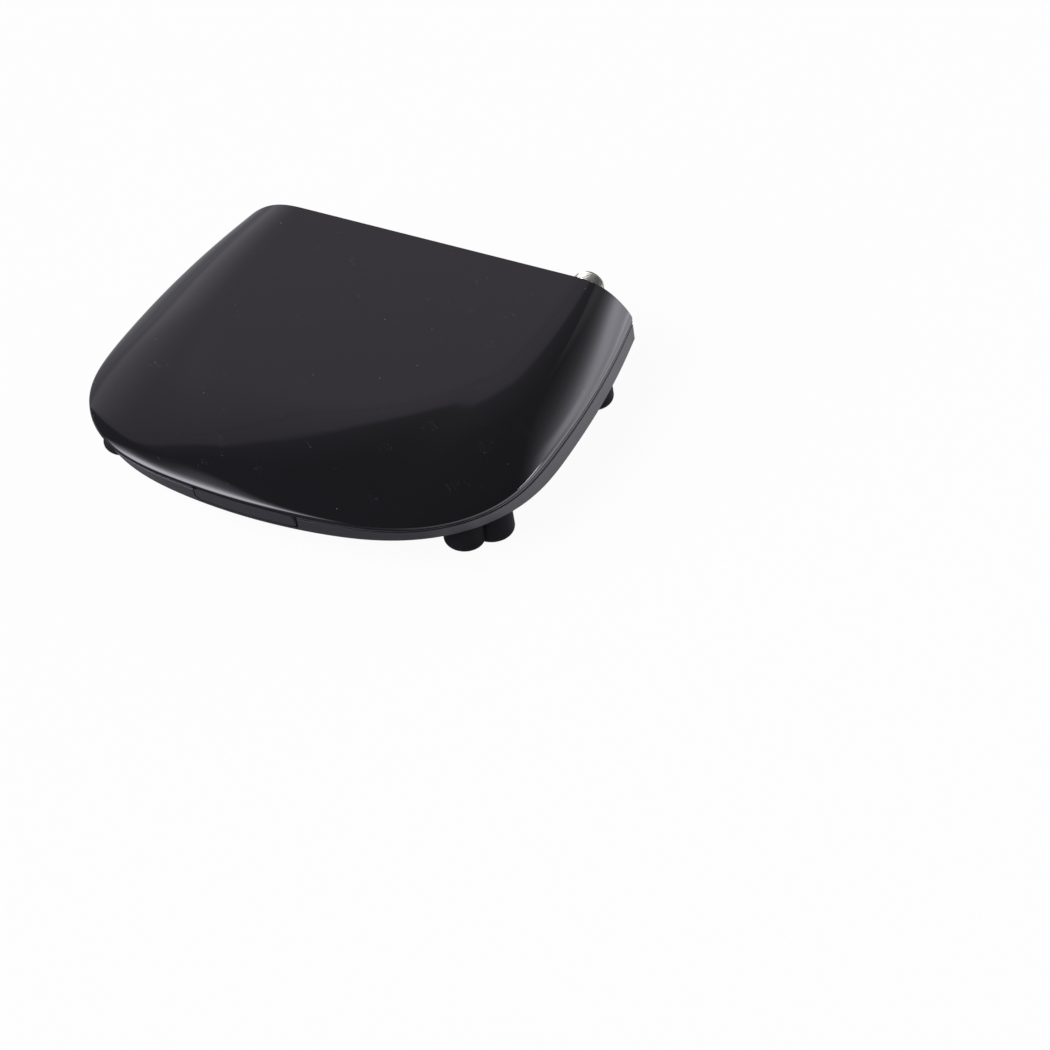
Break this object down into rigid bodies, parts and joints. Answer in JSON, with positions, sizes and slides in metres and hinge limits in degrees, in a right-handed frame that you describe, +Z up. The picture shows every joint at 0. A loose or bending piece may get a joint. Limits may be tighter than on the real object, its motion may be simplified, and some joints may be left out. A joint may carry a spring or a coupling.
{
  "type": "satellite tv receiver",
  "caption": "Small set-top satellite receiver: glossy domed cover on a matte lower shell with round feet, rear sockets, a threaded aerial input and a hinged flap over a USB socket.",
  "frame": {"origin": "middle of the footprint, on the table under the feet", "axes": "+X to the right of the case seen from the front, +Y out of the rear with the sockets, +Z up"},
  "size_m": [0.1288, 0.1254, 0.024],
  "materials": {
    "gloss_black": "piano-black high gloss",
    "matte_grey": "fine spark-eroded grain, dark grey with a lavender tint",
    "panel_black": "matte black",
    "foot_rubber": "smooth matte near-black",
    "screw_steel": "zinc-plated",
    "board_green": "green solder mask on glass-fibre board",
    "nickel": "nickel-plated, slightly warm",
    "zinc_dark": "die-cast zinc",
    "white_plastic": "moulded white",
    "contact_brass": "gold-plated contact",
    "tin": "tin-plated sheet",
    "black_plastic": "moulded black",
    "orange_plastic": "moulded orange",
    "chip_black": "moulded epoxy",
    "pad_grey": "soft silicone pad",
    "heatsink_black": "black anodised",
    "can_aluminium": "drawn can",
    "smoked_plastic": "dark smoked lens",
    "clear_plastic": "clear moulded light guide"
  },
  "bodies": {
    "case": {"top_cover": "gloss_black", "bottom_shell": "matte_grey", "rear_panel": "panel_black", "foot_rear_right": "foot_rubber", "foot_rear_left": "foot_rubber", "foot_front_right": "foot_rubber", "foot_front_left": "foot_rubber", "case_screw_rear_right": "screw_steel", "case_screw_rear_left": "screw_steel", "case_screw_front_right": "screw_steel", "case_screw_front_left": "screw_steel", "main_board": "board_green", "board_screw_1": "screw_steel", "board_screw_2": "screw_steel", "board_screw_3": "screw_steel", "board_screw_4": "screw_steel", "aerial_barrel": "nickel", "aerial_block": "zinc_dark", "aerial_insulator": "white_plastic", "aerial_contact": "contact_brass", "hdmi_shell": "tin", "hdmi_tongue": "black_plastic", "coax_body": "orange_plastic", "coax_ring": "nickel", "coax_insulator": "orange_plastic", "av_jack": "black_plastic", "infrared_jack": "black_plastic", "power_jack": "black_plastic", "power_pin": "nickel", "tuner_frame": "tin", "tuner_lid": "tin", "main_chip": "chip_black", "thermal_pad": "pad_grey", "heatsink": "heatsink_black", "memory_chip": "chip_black", "flash_chip": "chip_black", "power_chip": "chip_black", "crystal": "tin", "inductor_1": "chip_black", "inductor_2": "chip_black", "capacitor_1": "can_aluminium", "capacitor_2": "can_aluminium", "capacitor_3": "can_aluminium", "capacitor_4": "can_aluminium", "usb_shell": "tin", "usb_tongue": "white_plastic", "remote_eye": "smoked_plastic", "light_guide": "clear_plastic", "status_lamp": "white_plastic"},
    "flap": {"usb_flap": "matte_grey"}
  },
  "joints": [
    {"name": "flap_hinge", "type": "hinge", "parent": "case", "child": "flap", "pos_m": [0.0113, -0.0598, 0.0117], "axis": [0, 0, 1], "range_deg": [0, 90]}
  ]
}
